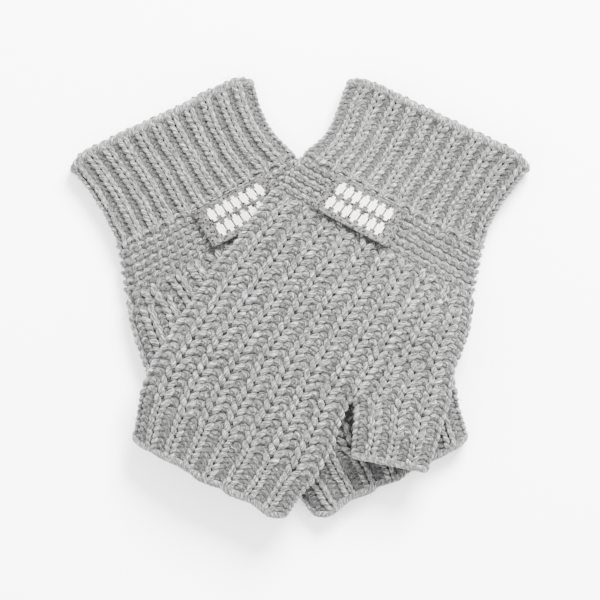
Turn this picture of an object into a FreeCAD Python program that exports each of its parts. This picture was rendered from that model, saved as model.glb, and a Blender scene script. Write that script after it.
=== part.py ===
"""A pair of knitted fingerless gloves lying crossed on a table.

The left glove lies flat and the right glove lies over it. Every knitted section is a flattened
tube that is open at both ends. All lengths are in millimetres. +Z is up, Z = 0 is the table, +Y
points at the cuffs and the right glove's thumb is on +X. The left glove has the mirrored shape.
"""
import FreeCAD, Part
import math
import os

Vector = FreeCAD.Vector

# ---- driving dimensions -------------------------------------------------------------------
BODY_GAP = 0.4              # clearance between two sections on different bodies
SECTION_GAP = 0.1           # clearance between two sections knitted in one piece
ROLLED_EDGE = 4.0           # depth of the rolled cast-on edge
BIND_OFF = 3.0              # depth of the bind-off edges
FINGER_RIB = 22.0           # depth of the fine rib at the finger opening
THUMB_RIB = 14.0            # depth of the fine rib at the thumb opening
OVERLAP_HEIGHT = 14.4       # height of the right glove's underside where it lies on the left one

# A station is one knitted row: (little-finger end, thumb end, thickness, wall thickness).
PALM_STATIONS = [
    ((23.5, 104.0), (109.0, 62.0), 11.4, 3.2),
    ((18.0, 88.5), (99.0, 48.5), 10.9, 3.0),
    ((12.2, 76.4), (90.4, 35.6), 10.9, 3.0),
    ((2.5, 66.4), (85.8, 22.4), 10.9, 3.0),
    ((-12.5, 49.7), (81.3, -1.5), 12.0, 3.5),
    ((-25.7, 32.7), (79.2, -13.5), 13.2, 4.1),
    ((-38.4, 15.8), (75.7, -24.5), 13.2, 4.1),
    ((-51.6, -3.1), (72.0, -35.5), 13.2, 4.1),
]
WRIST, HAND, CROTCH = 3, 4, 7       # stations where the cuff, the band and the palm end
CROTCH_POINT = (24.4, -47.2)
GUSSET_SHARE = 0.76                 # share of the row that runs on into the fingers
CROTCH_ROUNDING = 7.0

FINGER_STATIONS = [
    ((-38.4, 15.8), (36.5, -27.0), 13.2, 4.1),
    ((-51.6, -3.1), (24.0, -47.4), 13.2, 4.1),
    ((-61.9, -19.0), (17.5, -63.5), 13.2, 4.1),
    ((-69.6, -31.2), (12.4, -76.0), 13.2, 4.1),
    ((-74.6, -47.6), (3.5, -89.0), 12.6, 3.8),
    ((-79.0, -67.5), (-8.3, -104.0), 12.0, 3.5),
]
THUMB_STATIONS = [
    ((25.6, -37.0), (75.5, -24.4), 13.2, 4.1),
    ((25.4, -47.4), (72.0, -35.9), 13.2, 4.1),
    ((24.8, -56.5), (69.0, -49.0), 13.2, 4.1),
    ((24.4, -66.5), (64.8, -65.5), 12.8, 3.9),
    ((24.0, -74.5), (59.0, -81.5), 12.4, 3.7),
]

# The right glove hangs over the left one's edges along three lines in plan:
# (point on the line, outward direction, distance inside the line where it starts to fall, run).
DRAPE_LINES = [
    ((4.5, 64.7), (0.817, 0.577), 5.0, 48.0),
    ((-73.0, -28.0), (-0.968, -0.252), 4.0, 30.0),
    ((-58.0, -82.0), (-0.32, -0.947), 3.0, 44.0),
]

# The label hangs from the end of the cuff rib over the band; its corners in plan on the right
# glove, from the little-finger end of its sewn edge round to the free edge.
LABEL_CORNERS = [(17.0, 57.0), (50.3, 39.5), (40.2, 22.9), (4.9, 41.8)]
LABEL_THICKNESS = 0.9
LABEL_CLEARANCE = 0.5
LABEL_SAMPLES = 8
STITCH_COUNT = 11
STITCH_LENGTH = 1.8
STITCH_RADIUS = 0.3
STITCH_OFFSET = 0.9         # from the label's sewn edge to the line of stitches

ARC_STEPS = 4                                                   # points per quarter of a fold
FLAT_SHARES = [0.03, 0.07, 0.13, 0.22, 0.34, 0.45, 0.55, 0.66, 0.78, 0.87, 0.93, 0.97]
NOMINAL_LENGTH, NOMINAL_RADIUS = 95.0, 6.0                      # section that sets the spacing
FLAT_TOLERANCE = 0.00001


# ---- rows ---------------------------------------------------------------------------------
def catmull_rom(before, start, end, after, t):
    """Smooth value between start and end."""
    return 0.5 * (2 * start + (end - before) * t
                  + (2 * before - 5 * start + 4 * end - after) * t ** 2
                  + (3 * start - before - 3 * end + after) * t ** 3)


def flatten(station):
    (ax, ay), (bx, by), thickness, wall = station
    return [ax, ay, bx, by, thickness, wall]


def row_at(stations, position):
    """The row at a position, counted in stations from the first one."""
    index = min(int(position), len(stations) - 2)
    t = position - index
    last = len(stations) - 1
    near = [flatten(stations[min(max(index + k, 0), last)]) for k in (-1, 0, 1, 2)]
    if index == 0:
        near[0] = [2 * a - b for a, b in zip(near[1], near[2])]
    if index == last - 1:
        near[3] = [2 * b - a for a, b in zip(near[1], near[2])]
    ax, ay, bx, by, thickness, wall = [catmull_rom(*values, t) for values in zip(*near)]
    return {"points": [(ax, ay), (bx, by)], "thickness": thickness, "wall": wall}


def palm_row(position):
    """A row of the cuff, band or palm. Past the band it bends at the line up from the crotch."""
    row = row_at(PALM_STATIONS, position)
    if position > HAND:
        band = row_at(PALM_STATIONS, HAND)["points"]
        bend_top = [a + GUSSET_SHARE * (b - a) for a, b in zip(*band)]
        share = (position - HAND) / (CROTCH - HAND)
        bend = tuple(a + share * (b - a) for a, b in zip(bend_top, CROTCH_POINT))
        row["points"].insert(1, bend)
    return row


def along(points, distance):
    """The plan point at a distance along a row, with the bend rounded off."""
    lengths = [math.dist(a, b) for a, b in zip(points, points[1:])]
    if len(points) == 3 and abs(distance - lengths[0]) < CROTCH_ROUNDING:
        before = along(points[:2], lengths[0] - CROTCH_ROUNDING)
        after = along(points[1:], CROTCH_ROUNDING)
        t = 0.5 + (distance - lengths[0]) / (2 * CROTCH_ROUNDING)
        weights = ((1 - t) ** 2, 2 * t * (1 - t), t ** 2)
        corners = (before, points[1], after)
        return tuple(sum(w * p[k] for w, p in zip(weights, corners)) for k in (0, 1))
    if len(points) == 3 and distance > lengths[0]:
        return along(points[1:], distance - lengths[0])
    (ax, ay), (bx, by) = points[0], points[1]
    t = distance / lengths[0]
    return (ax + t * (bx - ax), ay + t * (by - ay))


def length_of(points):
    return sum(math.dist(a, b) for a, b in zip(points, points[1:]))


# ---- the two ways a glove lies ---------------------------------------------------------------
def drape_height(x, y):
    """Height of the right glove's underside over the table."""
    height = OVERLAP_HEIGHT
    for (px, py), (nx, ny), start, run in DRAPE_LINES:
        outside = (x - px) * nx + (y - py) * ny + start
        t = min(max(outside / run, 0.0), 1.0)
        height *= 1 - t * t * (3 - 2 * t)
    return height


def lay_right(x, y, z):
    return Vector(x, y, z + drape_height(x, y))


def lay_left(x, y, z):
    return Vector(-x, y, z)


# ---- tubes --------------------------------------------------------------------------------
def half_section(length, radius, inset):
    """Half of a flattened section, from fold to fold: (distance along the row, rise)."""
    angles = [k * math.pi / 2 / ARC_STEPS for k in range(ARC_STEPS + 1)]
    flat = length - 2 * (inset + radius)
    fold = [(inset + radius * (1 - math.cos(a)), radius * math.sin(a)) for a in angles]
    profile = fold + [(inset + radius + flat * share, radius) for share in FLAT_SHARES]
    return profile + [(length - reach, rise) for reach, rise in reversed(fold)]


def section_parameters():
    """The same spacing for every section, so that neighbouring sections match."""
    profile = half_section(NOMINAL_LENGTH, NOMINAL_RADIUS, 0)
    reached = [0.0]
    for a, b in zip(profile, profile[1:]):
        reached.append(reached[-1] + math.dist(a, b))
    return [distance / reached[-1] for distance in reached]


def section_wire(row, inset, lay):
    """Four edges: the top with its two folds, the lower far fold, the underside, the near fold."""
    middle = row["thickness"] / 2
    profile = half_section(length_of(row["points"]), middle - inset, inset)
    parameters = section_parameters()
    last = len(profile) - 1
    runs = [(1, 0, last), (-1, last - ARC_STEPS, last), (-1, ARC_STEPS, last - ARC_STEPS), (-1, 0, ARC_STEPS)]
    edges = []
    for side, first, end in runs:
        points = []
        for distance, rise in profile[first:end + 1]:
            x, y = along(row["points"], distance)
            points.append(lay(x, y, middle + side * rise))
        curve = Part.BSplineCurve()
        curve.interpolate(Points=points, Parameters=parameters[first:end + 1])
        edges.append(curve.toShape())
    return Part.Wire(edges)


def outer_skin(wires):
    """The faces through the rows. A face that lies on the table is made as a true plane."""
    faces = []
    for face in Part.makeLoft(wires).Faces:
        if face.findPlane(FLAT_TOLERANCE):
            outline = Part.Wire(face.OuterWire.Edges)
            face = Part.makeFace([outline], "Part::FaceMakerBullseye")
        faces.append(face)
    return faces


def tube(rows, lay):
    """A closed solid: outer skin, inner skin and the two ends between them."""
    outer = [section_wire(row, 0, lay) for row in rows]
    inner = [section_wire(row, row["wall"], lay) for row in rows]
    faces = outer_skin(outer) + Part.makeLoft(inner).Faces
    for end in (0, -1):
        for outside, inside in zip(outer[end].Edges, inner[end].Edges):
            faces.append(Part.makeRuledSurface(outside, inside))
    shell = Part.makeShell(faces)
    shell.sewShape(0.01)
    solid = Part.makeSolid(shell)
    if solid.Volume < 0:
        solid.reverse()
    return solid


def span(make_row, start, end, gap_start, gap_end, count):
    """Rows from start to end in stations, less a gap in millimetres at each end."""
    first, last = make_row(start), make_row(end)
    depth = math.dist(middle_of(first), middle_of(last))
    per_mm = (end - start) / depth
    low, high = start + gap_start * per_mm, end - gap_end * per_mm
    return [make_row(low + (high - low) * k / (count - 1)) for k in range(count)]


def middle_of(row):
    return along(row["points"], length_of(row["points"]) / 2)


def back_from_end(make_row, end, depth):
    """The station that lies a depth in millimetres before the end."""
    per_mm = 1 / math.dist(middle_of(make_row(end - 1)), middle_of(make_row(end)))
    return end - depth * per_mm


def finger_row(position):
    return row_at(FINGER_STATIONS, position)


def thumb_row(position):
    return row_at(THUMB_STATIONS, position)


# ---- label --------------------------------------------------------------------------------
def mix(a, b, share):
    return a + share * (b - a)


def knitting_under_label(u, v, lay):
    """The knitting's surface at a share u along the label and v from its sewn to its free edge."""
    near_start, near_end, far_end, far_start = LABEL_CORNERS
    x, y = [mix(mix(near_start[k], near_end[k], u), mix(far_start[k], far_end[k], u), v) for k in (0, 1)]
    thickness = mix(palm_row(WRIST)["thickness"], palm_row(HAND)["thickness"], v)
    return lay(x, y, thickness)


def label_corners(lay):
    """The label's lower corners: two along the sewn edge, then two along the free edge."""
    corners = [knitting_under_label(u, v, lay) for v in (0, 1) for u in (0, 1)]
    rise = 0.0
    for i in range(LABEL_SAMPLES + 1):
        for k in range(LABEL_SAMPLES + 1):
            u, v = i / LABEL_SAMPLES, k / LABEL_SAMPLES
            heights = [corner.z for corner in corners]
            flat = mix(mix(heights[0], heights[1], u), mix(heights[2], heights[3], u), v)
            rise = max(rise, knitting_under_label(u, v, lay).z - flat)
    lift = Vector(0, 0, rise + LABEL_CLEARANCE)
    return [corner + lift for corner in corners]


def make_label(lay):
    """A thin plate, twisted so that its free edge follows the knitting."""
    corners = label_corners(lay)
    up = Vector(0, 0, LABEL_THICKNESS)
    sections = []
    for start, end in (corners[:2], corners[2:]):
        sections.append(Part.makePolygon([start, end, end + up, start + up, start]))
    return Part.makeLoft(sections, True, True)


def make_stitching(lay):
    """A row of short stitches along the label's sewn edge, on the cuff side of it."""
    corners = label_corners(lay)
    sewn = corners[1] - corners[0]
    edge = Vector(sewn).normalize()
    away = corners[0] - corners[2]
    away = (away - edge * away.dot(edge)).normalize()
    start = corners[0] + away * STITCH_OFFSET + Vector(0, 0, LABEL_THICKNESS / 2)
    pitch = sewn.Length / STITCH_COUNT
    stitches = []
    for k in range(STITCH_COUNT):
        end = start + edge * (pitch * (k + 0.5) - STITCH_LENGTH / 2)
        stitches.append(Part.makeCylinder(STITCH_RADIUS, STITCH_LENGTH, end, edge))
    return Part.makeCompound(stitches)


def main():
    shapes = {}
    finger_end = len(FINGER_STATIONS) - 1
    thumb_end = len(THUMB_STATIONS) - 1
    rib_start = back_from_end(finger_row, finger_end, FINGER_RIB)
    bind_start = back_from_end(finger_row, finger_end, BIND_OFF)
    thumb_rib = back_from_end(thumb_row, thumb_end, THUMB_RIB)
    thumb_bind = back_from_end(thumb_row, thumb_end, BIND_OFF)
    edge_end = ROLLED_EDGE / math.dist(middle_of(palm_row(0)), middle_of(palm_row(1)))
    half_body, half = BODY_GAP / 2, SECTION_GAP / 2
    for hand, lay in (("left", lay_left), ("right", lay_right)):
        spans = {
            "cuff_edge": (palm_row, 0, edge_end, 0, half, 3),
            "cuff_rib": (palm_row, edge_end, WRIST, half, half_body, 9),
            "wrist_band": (palm_row, WRIST, HAND, half_body, half, 5),
            "palm": (palm_row, HAND, CROTCH, half, half, 9),
            "finger_section": (finger_row, 1, rib_start, half, half, 7),
            "finger_rib": (finger_row, rib_start, bind_start, half, half, 4),
            "finger_bind_off": (finger_row, bind_start, finger_end, half, 0, 3),
            "thumb": (thumb_row, 1, thumb_rib, BODY_GAP, half, 6),
            "thumb_rib": (thumb_row, thumb_rib, thumb_bind, half, half, 3),
            "thumb_bind_off": (thumb_row, thumb_bind, thumb_end, half, 0, 3),
        }
        for name, settings in spans.items():
            shapes[f"{hand}_{name}"] = tube(span(*settings), lay)
        shapes[f"{hand}_label"] = make_label(lay)
        shapes[f"{hand}_label_stitching"] = make_stitching(lay)
    for name, shape in shapes.items():
        shape.exportStep(f"parts/{name}.step")


os.makedirs("parts", exist_ok=True)
main()
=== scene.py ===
"""Looks for a pair of knitted fingerless gloves lying crossed on a table.

Every yarn is built as a tube that follows its stitches, laid on the same rows and the same drape
as the CAD part. Plan positions and sizes are in millimetres until the meshes are made. Both gloves
are drawn as the right one, which lies on top; the left one is mirrored and lies flat on the table.
"""

import math
import bpy
import numpy as np
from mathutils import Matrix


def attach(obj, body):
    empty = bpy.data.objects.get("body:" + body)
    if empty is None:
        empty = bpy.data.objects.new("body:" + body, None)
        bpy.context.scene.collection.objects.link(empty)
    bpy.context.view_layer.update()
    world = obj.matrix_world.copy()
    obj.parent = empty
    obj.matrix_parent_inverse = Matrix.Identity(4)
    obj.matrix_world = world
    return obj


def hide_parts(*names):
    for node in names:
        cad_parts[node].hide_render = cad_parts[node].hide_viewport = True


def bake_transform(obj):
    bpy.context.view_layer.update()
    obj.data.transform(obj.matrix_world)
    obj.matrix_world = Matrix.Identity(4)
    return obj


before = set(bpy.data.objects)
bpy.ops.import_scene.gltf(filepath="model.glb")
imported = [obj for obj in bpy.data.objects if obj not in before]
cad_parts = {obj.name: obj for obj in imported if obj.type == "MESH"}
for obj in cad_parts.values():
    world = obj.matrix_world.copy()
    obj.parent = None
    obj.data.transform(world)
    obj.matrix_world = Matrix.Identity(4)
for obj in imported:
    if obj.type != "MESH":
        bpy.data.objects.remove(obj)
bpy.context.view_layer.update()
rng = np.random.default_rng(7)
MM = 0.001

# ---- the gloves' rows, as in the CAD part -----------------------------------------------------
# Each row: near x, near y, far x, far y, thickness of both layers, wall.
CUFF_ROWS = [
    (23.5, 104.0, 109.0, 62.0, 11.4, 3.2),
    (18.0, 88.5, 99.0, 48.5, 10.9, 3.0),
    (12.2, 76.4, 90.4, 35.6, 10.9, 3.0),
    (2.5, 66.4, 85.8, 22.4, 10.9, 3.0),
    (-12.5, 49.7, 81.3, -1.5, 12.0, 3.5),
    (-25.7, 32.7, 79.2, -13.5, 13.2, 4.1),
    (-38.4, 15.8, 75.7, -24.5, 13.2, 4.1),
    (-51.6, -3.1, 72.0, -35.5, 13.2, 4.1),
]
BAND_START, BAND_END, CROTCH_ROW = 3, 4, 7      # places in CUFF_ROWS
FINGER_ROWS = [
    (-38.4, 15.8, 36.5, -27.0, 13.2, 4.1),
    (-51.6, -3.1, 24.0, -47.4, 13.2, 4.1),
    (-61.9, -19.0, 17.5, -63.5, 13.2, 4.1),
    (-69.6, -31.2, 12.4, -76.0, 13.2, 4.1),
    (-74.6, -47.6, 3.5, -89.0, 12.6, 3.8),
    (-79.0, -67.5, -8.3, -104.0, 12.0, 3.5),
]
FINGER_START, FINGER_END = 1, 5                 # places in FINGER_ROWS
DIVIDE_TOP = (58.8, 10.8)                       # where the gusset starts at the band
CROTCH = (24.4, -47.2)
THUMB_NEAR = [CROTCH, (24.9, -56.5), (24.4, -66.5), (24.0, -74.5)]
THUMB_FAR = [(81.3, -1.5), (79.2, -13.5), (75.7, -24.5), (72.0, -35.5), (69.0, -49.0), (64.8, -65.5),
             (59.0, -81.5)]

# The right glove is raised by the left one under it, and falls away past each line: a point on
# the line, the way out from it, how far inside it the fall starts, and the run of the fall.
DRAPE_HEIGHT = 14.4
DRAPE_LINES = [
    ((4.5, 64.7), (0.817, 0.577), 5.0, 48.0),
    ((-73.0, -28.0), (-0.968, -0.252), 4.0, 30.0),
    ((-58.0, -82.0), (-0.32, -0.947), 3.0, 44.0),
]

# ---- the knitting -----------------------------------------------------------------------------
SIDES = 8                           # round a yarn
CORD_SIDES = 20                     # round an edge cord
CORD_STEPS = 10                     # along an edge cord, for each stitch
CUFF_PAIRS = 23                     # rib columns round the cuff
FINGER_PAIRS = 8                    # rib columns across one face of the fingers
GUSSET_PAIRS = 4                    # rib columns across one face of the full-grown gusset
THUMB_PAIRS = 8                     # rib columns round the thumb
CROTCH_COURSE = 16.4                # plump rows from the band to the crotch
FINGER_RIB, THUMB_RIB = 22.0, 14.0  # depth of the finer rib, with its edge
EDGE = 2.8                          # depth of the bind-off edge
EDGE_RADIUS, CUFF_EDGE_RADIUS = 1.6, 2.0
CUFF_CORNER, CUFF_FLARE = 3.6, 2.2  # the cuff's rounded corners and bowed edge
HEM_WAVE = 0.7                      # the unevenness of the finger opening's edge
TWIST = 11.0                        # turns of the fibres round the yarn in 100 mm
FUZZ_EVERY = 2.4                    # mm of yarn for each loose fibre
# The web behind the stitches is drawn darker as painted shade, taken at this depth in mm.
WEB_PAINTED_SHADE_DEPTH = 0.65                    # the shade of the web behind the stitches, as a depth in mm

# How each kind of knitting is worked. A pair is a knit column, taking the share of its width, and
# a purl column. course is the height of a row; fat and thin are the yarn's radii in a stitch's
# legs and heads; depth is how far the yarn weaves in and out, lift and bump how far knit and purl
# stitches stand out, and sink how far all of it lies back in; sway leans the legs; rise is half
# of a loop's height in courses; samples are the points in each stitch.
STYLES = {
    "cuff": dict(kinds=("knit", "purl"), share=0.62, course=2.75, fat=1.18, thin=0.68, depth=0.55,
                 lift=0.90, bump=0.10, sink=0.30, sway=0.20, rise=0.78, samples=(14, 10)),
    "band": dict(kinds=("purl", "purl"), share=0.50, course=3.8, fat=1.22, thin=0.74, depth=0.90,
                 lift=0.00, bump=1.15, sink=0.25, sway=0.24, rise=0.78, samples=(12, 12)),
    "hand": dict(kinds=("knit", "purl"), share=0.66, course=4.3, fat=1.50, thin=0.76, depth=0.85,
                 lift=0.80, bump=0.60, sink=0.35, sway=0.22, rise=0.74, samples=(16, 12)),
    "rib": dict(kinds=("knit", "purl"), share=0.58, course=2.9, fat=1.20, thin=0.68, depth=0.60,
                lift=0.85, bump=0.20, sink=0.32, sway=0.20, rise=0.76, samples=(14, 10)),
}

# ---- the labels -------------------------------------------------------------------------------
# Corners in plan on the right glove: the ends of the sewn edge, then of the free edge.
LABEL = [(17.0, 57.0), (50.3, 39.5), (4.9, 41.8), (40.2, 22.9)]
LABEL_FLAT = (0.0388, 0.0194)       # metres
LABEL_HALF = 0.55                   # half of the cloth's thickness
LABEL_CELLS = (46, 27)              # fine stitches across and down the label
LABEL_GRID = (74, 40)               # points across and down its mesh
LOZENGE_PERIOD, LOZENGE_START = (5, 11), (5, 2)     # in fine stitches
LOZENGE_MIDDLE, LOZENGE_SIZE = (1.5, 5), 4.9
PATTERN_MIDDLE, PATTERN_REACH = (22, 12.5), (18, 11)
SEAM_STITCHES, SEAM_STITCH, SEAM_LENGTH = 11, 2.4, 37.6
SEAM_RADIUS = 0.34

# ---- light and camera -------------------------------------------------------------------------
LENS, SENSOR = 200.0, 36.0
VIEW_WIDTH = 0.282                  # metres of table across the picture
SKY = 3.5


def smooth(t):
    t = np.clip(t, 0.0, 1.0)
    return t * t * (3 - 2 * t)


def lengths_of(vectors):
    return np.linalg.norm(vectors, axis=-1)


def unit(vectors):
    return vectors / np.maximum(lengths_of(vectors), 1e-9)[..., None]


def catmull(stations, position):
    """Smooth rows between stations; position counts stations and may run a little past the ends."""
    s = np.array(stations, float)
    s = np.vstack([2 * s[0] - s[1], s, 2 * s[-1] - s[-2]])
    position = np.asarray(position, float)
    index = np.clip(position.astype(int), 0, len(stations) - 2)
    t = np.clip(position, -0.5, len(stations) - 0.5)[..., None] - index[..., None]
    a, b, c, d = (s[index + k] for k in range(4))
    return 0.5 * (2 * b + (c - a) * t + (2 * a - 5 * b + 4 * c - d) * t ** 2
                  + (3 * b - a - 3 * c + d) * t ** 3)


def walk(points, distance):
    """Points at distances along a line of points; it goes on straight past its ends."""
    past = 20
    p = np.array(points, float)
    steps = lengths_of(np.diff(p, axis=0))
    reached = np.concatenate([[0], np.cumsum(steps)])
    p = np.vstack([p[0] - (p[1] - p[0]) * past / steps[0], p[1:-1],
                   p[-1] + (p[-1] - p[-2]) * past / steps[-1]])
    reached[0] -= past
    reached[-1] += past
    return np.stack([np.interp(distance, reached, p[:, k]) for k in (0, 1)], -1)


def run_of(points):
    return float(lengths_of(np.diff(np.array(points, float), axis=0)).sum())


def sheet(near, far, thickness, wall, near_fold, far_fold, share, side):
    """The middle of the knitting at a share of a row, on the upper (1) or lower (-1) face.

    near_fold and far_fold say how fully the row rounds into the other face at its ends.
    Returns the points and the outward normals.
    """
    core = thickness / 2
    middle = core - wall / 2
    bend = math.pi / 2 * middle
    length = lengths_of(far - near)
    spare = core - bend
    whole = length - spare * (near_fold + far_fold)
    s = share * whole

    def end(reach, fold):
        angle = np.clip(reach / middle, 0, math.pi / 2)
        folded = np.where(reach < bend, core - middle * np.cos(angle), reach + spare)
        into = fold * folded + (1 - fold) * reach
        return into, fold * np.sin(angle) + 1 - fold, fold * np.cos(angle)

    near_in, near_rise, near_turn = end(s, near_fold)
    far_in, far_rise, far_turn = end(whole - s, far_fold)
    into = np.where(share < 0.5, near_in, length - far_in)
    rise = np.where(share < 0.5, near_rise, far_rise)
    turn = np.where(share < 0.5, -near_turn, far_turn)
    along = (far - near) / length[:, None]
    plan = near + along * into[:, None]
    normal = unit(np.column_stack([along * turn[:, None], side * rise]))
    return np.column_stack([plan, core + side * middle * rise]), normal


# ---- where each region's columns and courses lie ----------------------------------------------
def spacing(stations, start, end):
    """Distances down the middle of the rows, the stations they fall on, and the whole length.

    One more entry at each end carries on at the same pace.
    """
    past = 5
    position = np.linspace(start, end, 60)
    rows = catmull(stations, position)
    mid = (rows[:, 0:2] + rows[:, 2:4]) / 2
    reached = np.concatenate([[0], np.cumsum(lengths_of(np.diff(mid, axis=0)))])
    first, last = past * (np.diff(position) / np.diff(reached))[[0, -1]]
    return (np.concatenate([[-past], reached, [reached[-1] + past]]),
            np.concatenate([[position[0] - first], position, [position[-1] + last]]),
            float(reached[-1]))


def round_tube(column, pairs):
    """Which face of a flattened tube a column is on, 1 or -1, and its share of the way across."""
    column = np.mod(column, pairs)
    half = pairs / 2
    return (np.where(column < half, 1.0, -1.0),
            np.where(column < half, column / half, 2 - column / half))


def ring(stations, spaced, pairs, corner=0.0, flare=0.0, wave=0.0):
    """A closed tube of rib columns: place(column, down), with down in mm from the start row.

    The start row reaches out by flare mm and its corners are rounded off by corner mm; both fade
    out down the tube. The end row waves by wave mm and its corners are rounded.
    """
    reached, position, length = spaced

    def place(column, down):
        side, share = round_tube(column, pairs)
        to_fold = np.minimum(share, 1 - share) * pairs / 2
        bow = corner * np.exp(-(to_fold / 0.8) ** 2) - flare
        down = down + bow * smooth(1 - down / 14.0)
        angle = column * 2 * math.pi / pairs
        ripple = (np.sin(5 * angle) + 0.7 * np.sin(9 * angle + 1.0)
                  - 2.4 * np.exp(-(to_fold / 0.5) ** 2))
        down = down + wave * ripple * smooth(1 - (length - down) / 12.0)
        row = catmull(stations, np.interp(down, reached, position))
        fold = np.ones(len(column))
        return sheet(row[:, 0:2], row[:, 2:4], row[:, 4], row[:, 5], fold, fold, share, side)
    return place


CUFF = spacing(CUFF_ROWS, 0, BAND_START)
BAND = spacing(CUFF_ROWS, BAND_START, BAND_END)
FINGERS = spacing(FINGER_ROWS, FINGER_START, FINGER_END)
CUFF_LENGTH, BAND_LENGTH, FINGER_LENGTH = CUFF[2], BAND[2], FINGERS[2]
DIVIDE_LENGTH = math.dist(DIVIDE_TOP, CROTCH)
THUMB_LENGTH = run_of(THUMB_NEAR)
GUSSET_RATIO = run_of(THUMB_FAR) / (DIVIDE_LENGTH + THUMB_LENGTH)
HAND_STEP = DIVIDE_LENGTH / CROTCH_COURSE


def hand_size(down):
    """Thickness and wall of the hand, which plump up in the first 18 mm below the band."""
    grown = smooth(down / 18.0)
    return 12.0 + 1.2 * grown, 3.5 + 0.6 * grown


def gusset_at(row):
    """The gusset's column edges at a row of the hand, as shares of its width.

    It grows from two columns to four, a new one starting narrow beside the dividing line.
    """
    grown = 2 + 2 * (row + 1) / CROTCH_COURSE
    count = math.ceil(grown - 0.25)
    return column_edges(count, np.clip(0.45 + 1.4 * (grown - (count - 1)), 0.45, 1.0))


def column_edges(count, newest):
    widths = np.ones(count)
    widths[0] = newest
    return np.concatenate([[0], np.cumsum(widths)]) / widths.sum()


def hand_place(gusset):
    """The hand from the band to the crotch: the fingers' panel, then the gusset, on both faces."""
    count = len(gusset) - 1
    total = 2 * (FINGER_PAIRS + count)

    def place(column, down):
        column = np.mod(column, total)
        bottom = column > total / 2
        column = np.where(bottom, total - column, column)
        side = np.where(bottom, -1.0, 1.0)
        share_down = down / DIVIDE_LENGTH
        row = catmull(CUFF_ROWS, BAND_END + (CROTCH_ROW - BAND_END) * share_down)
        divide = (np.array(DIVIDE_TOP)
                  + share_down[:, None] * (np.array(CROTCH) - np.array(DIVIDE_TOP)))
        edge = walk(THUMB_FAR, down * GUSSET_RATIO)
        in_gusset = column > FINGER_PAIRS
        near = np.where(in_gusset[:, None], divide, row[:, 0:2])
        far = np.where(in_gusset[:, None], edge, divide)
        inside = np.interp(column - FINGER_PAIRS, np.arange(count + 1), gusset)
        share = np.where(in_gusset, inside, column / FINGER_PAIRS)
        pinch = 0.85 * smooth((down - DIVIDE_LENGTH + 9.0) / 12.0)
        thickness, wall = hand_size(down)
        return sheet(near, far, thickness, wall, np.where(in_gusset, pinch, 1.0),
                     np.where(in_gusset, 1.0, pinch), share, side)
    return place


def thumb_place(column, down):
    """The thumb, which thins a little towards its end."""
    near = walk(THUMB_NEAR, down)
    far = walk(THUMB_FAR, (down + DIVIDE_LENGTH) * GUSSET_RATIO)
    side, share = round_tube(column, THUMB_PAIRS)
    late = smooth((down - 8) / 20)
    return sheet(near, far, 13.2 - 0.8 * late, 4.1 - 0.4 * late, 0.85 + 0.15 * smooth(down / 6.0),
                 np.ones(len(column)), share, side)


# ---- how the gloves lie -----------------------------------------------------------------------
def drape(x, y):
    height = np.full(np.shape(x), DRAPE_HEIGHT)
    for (px, py), (nx, ny), start, run in DRAPE_LINES:
        height = height * (1 - smooth(((x - px) * nx + (y - py) * ny + start) / run))
    return height


def wander(x, y, seed):
    """A slow, smooth drift over the knitting, in mm."""
    r = np.random.default_rng(seed)
    total = 0.0
    for size in (31.0, 19.0, 11.0):
        way, start = 6.28 * r.random(4)[2:]
        total = total + (np.sin((x * math.cos(way) + y * math.sin(way)) * 6.28 / size + start)
                         * size / 31.0)
    return total * 0.5


def lay_right(points):
    """The right glove, draped over the left one and a little uneven."""
    x, y = points[:, 0], points[:, 1]
    moved = points.copy()
    moved[:, 0] += 0.5 * wander(x, y, 11)
    moved[:, 1] += 0.5 * wander(x, y, 12)
    moved[:, 2] += drape(x, y) + 0.45 * wander(x, y, 13)
    return moved


def lay_left(points):
    """The left glove, flat on the table, with its thumb's far corner drawn in out of sight."""
    x, y = points[:, 0], points[:, 1]
    moved = points.copy()
    moved[:, 0] += 0.5 * wander(x, y, 21)
    moved[:, 1] += 0.5 * wander(x, y, 22)
    moved[:, 2] += 0.2 * wander(x, y, 23)
    moved[:, 1] += 3.6 * smooth((x - 40.0) / 15.0) * smooth((-60.0 - y) / 18.0)
    return moved


# ---- rows of stitches -------------------------------------------------------------------------
# A yarn is (points, normals, radii, closed, outs); outs is how far it stands out of the middle of
# the knitting. A part is (verts, faces, coords, depth of each point), ready to be joined into a
# mesh;
# the depth of each point sets its painted shade.
def stitch(kind, samples, style):
    """One loop: across (-0.5..0.5), up and out in mm, radius, and its hold on its neighbours."""
    t = np.linspace(-math.pi, math.pi, samples, endpoint=False)
    from_end = (math.pi - np.abs(t)) / math.pi
    edge = smooth(from_end / 0.35)
    depth = style["depth"]
    if kind == "knit":
        out = edge * (style["lift"] - depth * np.cos(2 * t))
        legs, head = style["fat"], style["thin"]
    else:
        out = edge * (style["bump"] - depth + depth * np.cos(2 * t))
        legs, head = style["thin"], 0.88 * style["fat"]
    across = t / (2 * math.pi) + style["sway"] * np.sin(2 * t)
    up = style["rise"] * style["course"] * np.cos(t)
    radius = head + (legs - head) * np.sin(t) ** 4
    return across, up, out, radius, smooth(from_end / 0.5)


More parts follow.
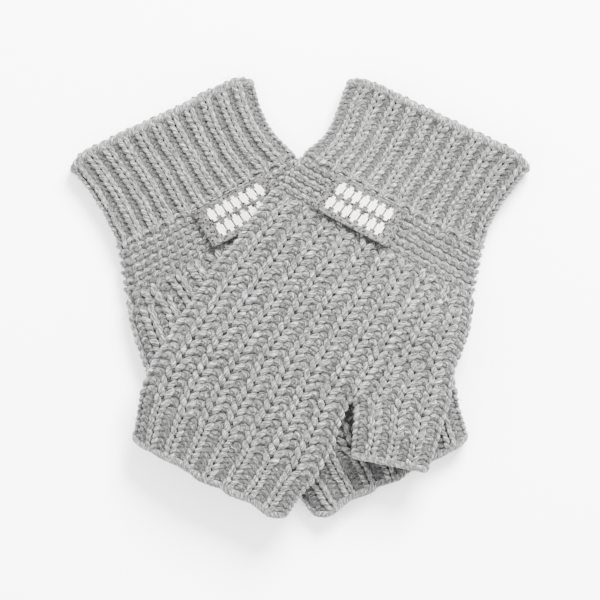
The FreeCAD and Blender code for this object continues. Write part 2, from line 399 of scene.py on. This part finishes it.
def row_yarn(place, lay, style_name, first, last, down, closed):
    """One row of stitches over pairs first..last, as a yarn."""
    style = STYLES[style_name]
    pairs = np.arange(first, last)
    widths = style["share"], 1 - style["share"]
    parts = []
    for kind, width, middle, samples in zip(style["kinds"], widths, (0.0, 0.5), style["samples"]):
        across, up, out, radius, hold = (s[None, :] for s in stitch(kind, samples, style))
        loose = rng.normal(0, 1, (4, len(pairs), 1))
        parts.append(np.stack([
            pairs[:, None] + middle + width * (across + 0.025 * loose[0] * hold),
            up + 0.05 * style["course"] * loose[1] * hold,
            out - style["sink"] + 0.09 * loose[2] * hold,
            radius * (1 + 0.05 * loose[3] * hold)], -1))
    column, up, out, radius = np.concatenate(parts, 1).reshape(-1, 4).T
    points, normals = place(column, down - up)
    return lay(points + normals * out[:, None]), normals, radius, closed, out


def backing(place, lay, first, last, top, bottom):
    """The web of yarn just inside the middle of the knitting, seen between the stitches, in painted
    shade: a part.
    """
    columns = np.linspace(first, last, (last - first) * 8 + 1)
    downs = np.arange(top, bottom, 1.4)
    grid_column, grid_down = [g.ravel() for g in np.meshgrid(columns, downs, indexing="ij")]
    points, normals = place(grid_column, grid_down)
    points = lay(points - normals * (0.25 + 0.12 * rng.normal(0, 1, (len(points), 1))))
    rows = len(downs)
    i, k = np.arange(len(columns) - 1)[:, None], np.arange(rows - 1)[None, :]
    corner = i * rows + k
    faces = np.stack([corner, corner + 1, corner + rows + 1, corner + rows], -1).reshape(-1, 4)
    coords = np.stack([grid_column * 8.0, grid_down * 0.12], -1)[faces.ravel()]
    # Painted shade: the whole web is darkened as if it lay at one fixed depth.
    return points, faces, coords, np.full(len(points), WEB_PAINTED_SHADE_DEPTH)


def rows_between(place, lay, style, pairs, first, last):
    """Closed rows of a style spread evenly from one depth to another, over their backing."""
    course = STYLES[style]["course"]
    count = round((last - first) / course) + 1
    web = backing(place, lay, 0, pairs, first - course / 2, last + course / 2 + 1.4)
    return [web] + [row_yarn(place, lay, style, 0, pairs, down, True)
                    for down in np.linspace(first, last, count)]


def edge_cord(place, lay, stitches, pairs, down, radius):
    """The line of the rolled edge round an opening: (points, normals, radius, stitches)."""
    steps = stitches * CORD_STEPS
    points, normals = place(np.arange(steps) / steps * pairs, np.full(steps, down))
    return lay(points + normals * 0.1), normals, radius, stitches


def glove_yarns(lay):
    """Every yarn of one glove, by section."""
    made = {}
    cuff = ring(CUFF_ROWS, CUFF, CUFF_PAIRS, corner=CUFF_CORNER, flare=CUFF_FLARE)
    made["cuff_edge"] = edge_cord(cuff, lay, 3 * CUFF_PAIRS, CUFF_PAIRS, 2.0, CUFF_EDGE_RADIUS)
    made["cuff_rib"] = rows_between(cuff, lay, "cuff", CUFF_PAIRS, 2.4, CUFF_LENGTH - 0.3)
    band = ring(CUFF_ROWS, BAND, CUFF_PAIRS)
    made["wrist_band"] = rows_between(band, lay, "band", CUFF_PAIRS, 1.7, BAND_LENGTH - 1.6)

    palm, gusset = [], []
    for row in range(int(CROTCH_COURSE)):
        edges = gusset_at(row)
        place = hand_place(edges)
        down = (row + 0.5) * HAND_STEP
        gusset_end = FINGER_PAIRS + 2 * (len(edges) - 1)
        palm.append(row_yarn(place, lay, "hand", -FINGER_PAIRS, FINGER_PAIRS + 1, down, False))
        gusset.append(row_yarn(place, lay, "hand", FINGER_PAIRS + 1, gusset_end, down, False))
    place = hand_place(column_edges(GUSSET_PAIRS, 1.0))
    web_end = DIVIDE_LENGTH + 1.0
    palm.append(backing(place, lay, -FINGER_PAIRS, FINGER_PAIRS, -2.0, web_end))
    gusset.append(backing(place, lay, FINGER_PAIRS, FINGER_PAIRS + 2 * GUSSET_PAIRS, -2.0, web_end))
    made["palm"], made["gusset"] = palm, gusset

    carried = (int(CROTCH_COURSE) + 0.5 - CROTCH_COURSE) * HAND_STEP     # the next row's depth
    round_fingers = 2 * FINGER_PAIRS
    fingers = ring(FINGER_ROWS, FINGERS, round_fingers, wave=HEM_WAVE)
    for name, place, pairs, length, rib, stitches in (
            ("finger", fingers, round_fingers, FINGER_LENGTH, FINGER_RIB, 60),
            ("thumb", thumb_place, THUMB_PAIRS, THUMB_LENGTH, THUMB_RIB, 30)):
        plump = "finger_section" if name == "finger" else "thumb"
        rib_top = length - rib
        made[plump] = rows_between(place, lay, "hand", pairs, carried, rib_top - 1.7)
        made[f"{name}_rib"] = rows_between(place, lay, "rib", pairs, rib_top + 1.5,
                                           length - EDGE - 0.6)
        made[f"{name}_bind_off"] = edge_cord(place, lay, stitches, pairs, length - EDGE_RADIUS,
                                             EDGE_RADIUS)
    return made


# ---- meshes -----------------------------------------------------------------------------------
def link_piece(name, mesh, material):
    mesh.materials.append(material)
    piece = bpy.data.objects.new(name, mesh)
    bpy.context.collection.objects.link(piece)
    return piece


def new_mesh(name, part, mirrored, material):
    """A smooth mesh of quads from a part in mm.

    Its coords run along the fibres in mm, then round the yarn. Its last array, each point's distance
    from the middle of the knitting, sets the painted shade that darkens the wool low down.
    """
    verts, faces, coords, painted_shade_depths = part
    verts = verts * MM
    verts[:, 2] = np.maximum(verts[:, 2], 0.0)      # the table presses the underside flat
    coords = coords * [0.01, 1.0]
    coords[:, 1] += TWIST * coords[:, 0]
    if mirrored:
        verts[:, 0] *= -1
    else:
        faces = faces[:, ::-1]
        coords = coords.reshape(-1, 4, 2)[:, ::-1].reshape(-1, 2)
    mesh = bpy.data.meshes.new(name)
    mesh.vertices.add(len(verts))
    mesh.vertices.foreach_set("co", verts.ravel().astype(np.float32))
    mesh.loops.add(faces.size)
    mesh.loops.foreach_set("vertex_index", faces.ravel().astype(np.int32))
    mesh.polygons.add(len(faces))
    mesh.polygons.foreach_set("loop_start", np.arange(0, faces.size, 4, dtype=np.int32))
    layer = mesh.uv_layers.new(name="Yarn")
    mesh.update(calc_edges=True)
    layer.uv.foreach_set("vector", coords.ravel().astype(np.float32))
    mesh.polygons.foreach_set("use_smooth", np.ones(len(faces), bool))
    attribute = mesh.attributes.new("Depth", "FLOAT", "POINT")
    attribute.data.foreach_set("value", painted_shade_depths.astype(np.float32))
    return link_piece(name, mesh, material)


def rings_round(points, tangent, normals, radii, sides):
    """Rings of points round a line; side 0 is beside it and the next ones turn to face outwards."""
    beside = unit(np.cross(tangent, normals))
    above = np.cross(beside, tangent)
    turn = (np.arange(sides) * 2 * math.pi / sides)[None, :, None]
    return (points[:, None, :] + radii[:, :, None]
            * (np.cos(turn) * beside[:, None, :] + np.sin(turn) * above[:, None, :]))


def skin(reached, count, sides, closed):
    """Quads over a tube of rings, with each corner's distance along it and its share round it."""
    segments = count if closed else count - 1
    i, k = np.arange(segments)[:, None], np.arange(sides)[None, :]
    i2, k2 = (i + 1) % count, (k + 1) % sides
    quads = np.stack([i * sides + k, i2 * sides + k, i2 * sides + k2, i * sides + k2], -1)
    u0, u1 = reached[:segments, None] + 0 * k, reached[1:segments + 1, None] + 0 * k
    v0, v1 = k / sides + 0 * i, (k + 1) / sides + 0 * i
    corners = [np.stack(corner, -1) for corner in ((u0, v0), (u1, v0), (u1, v1), (u0, v1))]
    return quads.reshape(-1, 4), np.stack(corners, 2).reshape(-1, 2)


def fuzz(rings, tangent, length, painted_shade_by_depth):
    """Loose fibres that start on a yarn's outer side: flat ribbons of three steps, as a part."""
    count = int(length / FUZZ_EVERY)
    at = rng.integers(0, len(rings), count)
    around = rng.integers(0, SIDES // 2 + 1, count)
    root = rings[at, around]
    out = unit(root - rings[at].mean(1))
    way = tangent[at] * rng.choice([-1.0, 1.0], (count, 1)) + rng.normal(0, 0.35, (count, 3))
    reach = rng.uniform(1.2, 3.6, (count, 1))
    rise = rng.uniform(0.15, 0.9, (count, 1))
    thin = unit(np.cross(way, out))
    verts = []
    for step, bend, width in ((0.0, 0.0, 0.07), (0.33, 0.3, 0.07), (0.66, 0.55, 0.05),
                              (1.0, 0.75, 0.02)):
        line = root + way * reach * step + out * rise * math.sin(math.pi * bend)
        verts += [line - thin * width, line + thin * width]
    corner = np.arange(count)[:, None] * 8 + np.arange(3)[None, :] * 2
    faces = np.stack([corner, corner + 1, corner + 3, corner + 2], -1).reshape(-1, 4)
    shade = rng.uniform(0, 900, count)
    coords = np.repeat(np.stack([shade, np.full(count, 0.3)], -1), 12, 0)
    # Each loose fibre takes the painted shade of the point it starts from.
    return np.stack(verts, 1).reshape(-1, 3), faces, coords, np.repeat(painted_shade_by_depth[at, around], 8)


def yarn_parts(points, normals, radii, closed, outs):
    """A yarn's tube and its loose fibres."""
    if closed:
        ahead = np.roll(points, -1, 0)
        tangent = unit(ahead - np.roll(points, 1, 0))
        step = lengths_of(ahead - points)
    else:
        tangent = unit(np.gradient(points, axis=0))
        step = lengths_of(np.diff(points, axis=0))
    rings = rings_round(points, tangent, normals, radii[:, None], SIDES)
    # Painted shade: each point's depth is its height out of the middle of the knitting, made smaller
    # at the yarn's sides, so low parts and the creases beside each yarn are drawn darker.
    rise = np.sin(np.arange(SIDES) * 2 * math.pi / SIDES)[None, :]
    painted_shade_by_depth = (np.abs(outs[:, None] + radii[:, None] * rise)
            - 0.5 * radii[:, None] * (1 - np.abs(rise)))
    reached = np.concatenate([[0], np.cumsum(step)]) + rng.uniform(0, 900)
    faces, coords = skin(reached, len(points), SIDES, closed)
    return [(rings.reshape(-1, 3), faces, coords, painted_shade_by_depth.ravel()),
            fuzz(rings, tangent, float(reached[-1] - reached[0]), painted_shade_by_depth)]


def mesh_yarns(name, yarns, mirrored, material):
    """One mesh of yarns and ready parts."""
    parts = []
    for yarn in yarns:
        parts += [yarn] if len(yarn) == 4 else yarn_parts(*yarn)
    verts, faces, coords, painted_shade_depths = zip(*parts)
    starts = np.cumsum([0] + [len(v) for v in verts[:-1]])
    faces = [f + start for f, start in zip(faces, starts)]
    whole = np.vstack(verts), np.vstack(faces), np.vstack(coords), np.concatenate(painted_shade_depths)
    return new_mesh(name, whole, mirrored, material)


def mesh_cord(name, cord, mirrored, material):
    """The mesh of an edge cord, with a slanting mark for each stitch, its grooves in painted shade.
    """
    points, normals, radius, stitches = cord
    count = len(points)
    ahead = np.roll(points, -1, 0)
    tangent = unit(ahead - np.roll(points, 1, 0))
    turn = np.arange(CORD_SIDES)[None, :] * 2 * math.pi / CORD_SIDES
    phase = np.arange(count)[:, None] / count * stitches * 2 * math.pi
    mark = np.cos(phase + turn)
    swell = radius * (1 + 0.03 * mark - 0.05 * np.clip(-mark, 0, 1) ** 6) * (
        1 + 0.05 * np.sin(phase * 0.37 + 1.0) + 0.03 * rng.normal(0, 1, mark.shape))
    rings = rings_round(points, tangent, normals, swell, CORD_SIDES)
    reached = np.concatenate([[0], np.cumsum(lengths_of(ahead - points))])
    faces, corners = skin(reached, count, CORD_SIDES, True)
    coords = np.column_stack([corners[:, 1] * 2 * math.pi * radius, corners[:, 0] / 6.0])
    # Painted shade: the low side of each stitch mark is drawn darker.
    painted_shade_depths = 1.5 + 0.6 * mark
    return new_mesh(name, (rings.reshape(-1, 3), faces, coords, painted_shade_depths.ravel()), mirrored, material)


# ---- materials --------------------------------------------------------------------------------
def node(tree, kind, inputs=None, **settings):
    """A shader node; each of its inputs is given a value or another node's output."""
    made = tree.nodes.new(kind)
    for key, value in settings.items():
        setattr(made, key, value)
    for key, value in (inputs or {}).items():
        if isinstance(value, bpy.types.NodeSocket):
            tree.links.new(value, made.inputs[key])
        else:
            made.inputs[key].default_value = value
    return made


def new_material(name):
    material = bpy.data.materials.new(name)
    material.use_nodes = True
    return material, material.node_tree, material.node_tree.nodes["Principled BSDF"]


def heather(name, dark, mid, light):
    """Heather yarn: pale and dark fibres along the yarn, a soft mottle, painted shade low down."""
    material, tree, shader = new_material(name)
    uv = node(tree, "ShaderNodeUVMap", uv_map="Yarn").outputs["UV"]
    stretched = node(tree, "ShaderNodeMapping", {"Scale": (38.0, 11.0, 1.0), "Vector": uv})
    fibres = node(tree, "ShaderNodeTexNoise", {
        "Scale": 1.0, "Detail": 3.0, "Roughness": 0.7,
        "Vector": stretched.outputs["Vector"]}).outputs["Fac"]
    ramp = node(tree, "ShaderNodeValToRGB", {"Fac": fibres})
    stops = ramp.color_ramp.elements
    stops[0].position, stops[0].color = 0.40, (*dark, 1)
    stops[1].position, stops[1].color = 0.62, (*light, 1)
    stops.new(0.5).color = (*mid, 1)
    mottle = node(tree, "ShaderNodeTexNoise", {
        "Scale": 260.0, "Detail": 2.0,
        "Vector": node(tree, "ShaderNodeTexCoord").outputs["Object"]})
    shade = node(tree, "ShaderNodeMapRange", {
        "From Min": 0.3, "From Max": 0.7, "To Min": 0.82, "To Max": 1.15,
        "Value": mottle.outputs["Fac"]})
    # Painted shade: the Depth attribute darkens the colour where the knitting lies low, down to a
    # third.
    depth = node(tree, "ShaderNodeAttribute", attribute_name="Depth")
    painted_shade_by_depth = node(tree, "ShaderNodeMapRange", {
        "From Min": 0.2, "From Max": 1.7, "To Min": 0.34, "Value": depth.outputs["Fac"]},
        interpolation_type="SMOOTHSTEP")
    # The random mottle times the painted shade.
    both = node(tree, "ShaderNodeMath", {0: shade.outputs["Result"], 1: painted_shade_by_depth.outputs["Result"]},
                operation="MULTIPLY")
    shaded = node(tree, "ShaderNodeVectorMath", {
        0: ramp.outputs["Color"], "Scale": both.outputs["Value"]}, operation="SCALE")
    bump = node(tree, "ShaderNodeBump", {"Strength": 0.9, "Distance": 0.0005, "Height": fibres})
    tree.links.new(shaded.outputs["Vector"], shader.inputs["Base Color"])
    tree.links.new(bump.outputs["Normal"], shader.inputs["Normal"])
    shader.inputs["Roughness"].default_value = 0.95
    shader.inputs["Specular IOR Level"].default_value = 0.15
    shader.inputs["Sheen Weight"].default_value = 0.25
    shader.inputs["Sheen Roughness"].default_value = 0.6
    return material


def label_cloth(name, grey, white):
    """Fine knitted cloth: grey melange with two rows of off-white lozenges, a stitch at a time."""
    material, tree, shader = new_material(name)

    def calc(operation, a, b=0.0):
        return node(tree, "ShaderNodeMath", {0: a, 1: b}, operation=operation).outputs["Value"]

    def in_period(axis, cell):
        """A stitch's distance from the middle of its lozenge."""
        start, period = LOZENGE_START[axis], LOZENGE_PERIOD[axis]
        return calc("SUBTRACT", calc("MODULO", calc("SUBTRACT", cell, start), period),
                    LOZENGE_MIDDLE[axis])

    def in_pattern(axis, cell):
        return calc("LESS_THAN", calc("ABSOLUTE", calc("SUBTRACT", cell, PATTERN_MIDDLE[axis])),
                    PATTERN_REACH[axis])

    split = node(tree, "ShaderNodeSeparateXYZ", {
        "Vector": node(tree, "ShaderNodeUVMap", uv_map="Cloth").outputs["UV"]})
    across = calc("MULTIPLY", split.outputs["X"], LABEL_CELLS[0])
    from_groove = calc("PINGPONG", across, 0.5)
    along = calc("ADD", calc("MULTIPLY", split.outputs["Y"], LABEL_CELLS[1]),
                 calc("MULTIPLY", from_groove, 0.9))
    cell_x, cell_y = calc("FLOOR", across), calc("FLOOR", along)

    from_x, from_y = in_period(0, cell_x), calc("ABSOLUTE", in_period(1, cell_y))
    lozenge = calc("LESS_THAN", calc("ADD", calc("MULTIPLY", from_x, from_x), from_y),
                   LOZENGE_SIZE)
    marked = calc("MULTIPLY", lozenge,
                  calc("MULTIPLY", in_pattern(0, cell_x), in_pattern(1, cell_y)))

    cell = node(tree, "ShaderNodeCombineXYZ", {"X": cell_x, "Y": cell_y}).outputs["Vector"]
    random = node(tree, "ShaderNodeTexWhiteNoise", noise_dimensions="2D")
    tree.links.new(cell, random.inputs["Vector"])
    fleck = node(tree, "ShaderNodeTexNoise", {
        "Scale": 1000.0, "Vector": node(tree, "ShaderNodeTexCoord").outputs["Object"]})
    speck = calc("ADD", calc("MULTIPLY", random.outputs["Value"], 0.55), fleck.outputs["Fac"])
    grey_shade = calc("ADD", calc("MULTIPLY", speck, 3.6), -1.7)
    white_shade = calc("ADD", calc("MULTIPLY", speck, 0.22), 0.82)

    groove = calc("POWER", calc("MULTIPLY", from_groove, 2.0), 0.5)
    row = calc("ABSOLUTE", calc("SINE", calc("MULTIPLY", along, math.pi)))
    relief = calc("ADD", calc("MULTIPLY", groove, 0.6), calc("MULTIPLY", row, 0.4))
    # Painted shade and light: the grooves between the label's stitches and rows are darkened and
    # their crests lightened.
    shadow = calc("ADD", calc("MULTIPLY", relief, 0.45), 0.68)
    grey_tone, white_tone = (
        node(tree, "ShaderNodeVectorMath", {0: tone, "Scale": calc("MULTIPLY", shade, shadow)},
             operation="SCALE").outputs["Vector"]
        for tone, shade in ((grey, grey_shade), (white, white_shade)))
    vector_a, vector_b, vector_result = 4, 5, 1     # places of the mix node's vector sockets
    mix = node(tree, "ShaderNodeMix", data_type="VECTOR")
    tree.links.new(marked, mix.inputs["Factor"])
    tree.links.new(grey_tone, mix.inputs[vector_a])
    tree.links.new(white_tone, mix.inputs[vector_b])
    bump = node(tree, "ShaderNodeBump", {"Strength": 0.8, "Distance": 0.0003, "Height": relief})
    tree.links.new(mix.outputs[vector_result], shader.inputs["Base Color"])
    tree.links.new(bump.outputs["Normal"], shader.inputs["Normal"])
    shader.inputs["Roughness"].default_value = 0.95
    shader.inputs["Specular IOR Level"].default_value = 0.12
    shader.inputs["Sheen Weight"].default_value = 0.2
    return material


WOOL = heather("heather_wool", (0.0145, 0.0145, 0.0145), (0.049, 0.0481, 0.0467),
               (0.282, 0.2795, 0.274))
CLOTH = label_cloth("label_cloth", (0.047, 0.0462, 0.0449), (0.52, 0.51, 0.475))
THREAD = heather("grey_thread", (0.06, 0.06, 0.06), (0.14, 0.138, 0.135), (0.30, 0.297, 0.29))


# ---- the pieces -------------------------------------------------------------------------------
def build_glove(hand):
    right = hand == "right"
    for section, yarns in glove_yarns(lay_right if right else lay_left).items():
        make = mesh_yarns if isinstance(yarns, list) else mesh_cord
        piece = make(f"{hand}_{section}_knit", yarns, not right, WOOL)
        if section != "gusset":         # the CAD's palm includes the gusset
            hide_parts(f"{hand}_{section}")
        if right and section in ("gusset", "thumb", "thumb_rib", "thumb_bind_off"):
            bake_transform(piece)
        elif section in ("cuff_edge", "cuff_rib", "wrist_band"):
            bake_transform(piece)
        else:
            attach(piece, f"{hand}_glove")


def label_surface(u, v, hand):
    """The label's middle in mm, at shares u along its sewn edge and v towards its free edge."""
    (ax, ay), (bx, by), (cx, cy), (dx, dy) = LABEL
    x = (ax + (bx - ax) * u) * (1 - v) + (cx + (dx - cx) * u) * v
    y = (ay + (by - ay) * u) * (1 - v) + (cy + (dy - cy) * u) * v
    under = 10.9 + 1.1 * v + (drape(x, y) if hand == "right" else 0.0)
    sag = 0.25 * np.sin(u * 7.0 + 0.6) * v
    rolled = 1.1 * smooth((v - 0.78) / 0.22) * (0.7 + 0.3 * np.sin(u * 9.0))
    return np.stack([x, y, under + 1.5 + sag + rolled], -1)


def label_line(length, count):
    """Shares along one side of the label, closer together where its rim is rounded."""
    rim = np.array([0.0, 0.08, 0.3, 0.65, 1.0]) * LABEL_HALF / length
    return np.concatenate([rim, np.linspace(rim[-1], 1 - rim[-1], count)[1:-1], 1 - rim[::-1]])


def build_label(hand):
    """A soft cloth label: two skins that close round its rim, its free edge off the knitting."""
    sizes = [size / MM for size in LABEL_FLAT]
    us, vs = np.meshgrid(*map(label_line, sizes, LABEL_GRID), indexing="ij")
    inset = 1.3 * smooth((vs - 0.9) / 0.1) ** 2 / sizes[0]
    fat = LABEL_HALF
    for s, size in zip((us, vs), sizes):
        to_rim = np.clip(np.minimum(s, 1 - s) * size / LABEL_HALF, 0, 1)
        fat = fat * np.sqrt(1 - (1 - to_rim) ** 2)
    middle = label_surface(inset + us * (1 - 2 * inset), vs, hand)
    middle[..., 2] += 0.08 * rng.normal(0, 1, us.shape) * (fat > 0.5)
    top, low = middle.copy(), middle.copy()
    top[..., 2] += fat
    low[..., 2] -= fat
    grid = np.arange(us.size).reshape(us.shape)
    quads = np.stack([grid[:-1, :-1], grid[:-1, 1:], grid[1:, 1:], grid[1:, :-1]],
                     -1).reshape(-1, 4)
    verts = np.vstack([top.reshape(-1, 3), low.reshape(-1, 3)]) * MM
    if hand == "left":
        verts[:, 0] *= -1
        quads = quads[:, ::-1]
    faces = np.vstack([quads, quads[:, ::-1] + us.size])
    mesh = bpy.data.meshes.new(f"{hand}_label_cloth")
    mesh.from_pydata(verts.tolist(), [], faces.tolist())
    cloth = np.tile(np.stack([us, vs], -1).reshape(-1, 2), (2, 1))[faces.ravel()]
    mesh.uv_layers.new(name="Cloth").uv.foreach_set("vector", cloth.ravel())
    mesh.polygons.foreach_set("use_smooth", np.ones(len(faces), bool))
    piece = link_piece(f"{hand}_label_cloth", mesh, CLOTH)
    weld = piece.modifiers.new("rim", "WELD")
    weld.merge_threshold = 0.00001
    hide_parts(f"{hand}_label")
    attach(piece, "right_label_flap" if hand == "right" else "left_glove")


def build_seam(hand):
    """The row of stitches that sews the label on, just past its sewn edge."""
    t = np.linspace(0, 1, 9)
    up = np.tile([0.0, 0.0, 1.0], (len(t), 1))
    radii = SEAM_RADIUS * np.sqrt(np.clip(np.sin(t * math.pi), 0.02, 1))
    yarns = []
    for k in range(SEAM_STITCHES):
        along = (k + 0.5) / SEAM_STITCHES + (t - 0.5) * SEAM_STITCH / SEAM_LENGTH
        points = label_surface(along, np.full(len(t), -0.045), hand)
        points[:, 2] += 0.45 * np.sin(t * math.pi) - 0.35
        yarns.append((points, up, radii, False, np.full(len(t), 2.0)))
    thread = mesh_yarns(f"{hand}_label_thread", yarns, hand == "left", THREAD)
    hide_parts(f"{hand}_label_stitching")
    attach(thread, f"{hand}_glove")


for side in ("left", "right"):
    build_glove(side)
    build_label(side)
    build_seam(side)

# ---- table, light and camera ------------------------------------------------------------------
bpy.ops.mesh.primitive_plane_add(size=6.0, location=(0, 0, -0.0005))
floor = bpy.context.object
floor.name = "table"
paper, _, paper_shader = new_material("white_table")
paper_shader.inputs["Base Color"].default_value = (0.96, 0.96, 0.96, 1)
paper_shader.inputs["Roughness"].default_value = 0.9
floor.data.materials.append(paper)

world = bpy.data.worlds.new("studio")
bpy.context.scene.world = world
world.use_nodes = True
world.node_tree.nodes["Background"].inputs["Color"].default_value = (1, 1, 1, 1)
world.node_tree.nodes["Background"].inputs["Strength"].default_value = SKY


def lamp(name, place, size, power):
    """A square lamp that faces the gloves."""
    data = bpy.data.lights.new(name, "AREA")
    data.shape = "SQUARE"
    data.size = size
    data.energy = power
    made = bpy.data.objects.new(name, data)
    made.location = place
    made.rotation_euler = (-made.location).to_track_quat("-Z", "Y").to_euler()
    bpy.context.collection.objects.link(made)


lamp("key", (0.38, 0.9, 0.95), 0.6, 150.0)
lamp("fill", (-0.9, -0.3, 1.3), 1.0, 25.0)

camera_data = bpy.data.cameras.new("camera")
camera_data.lens = LENS
camera_data.sensor_width = SENSOR
camera_data.clip_end = 10.0
camera = bpy.data.objects.new("camera", camera_data)
camera.location = (0.0, -0.0012, VIEW_WIDTH / SENSOR * LENS)
bpy.context.collection.objects.link(camera)
bpy.context.scene.camera = camera
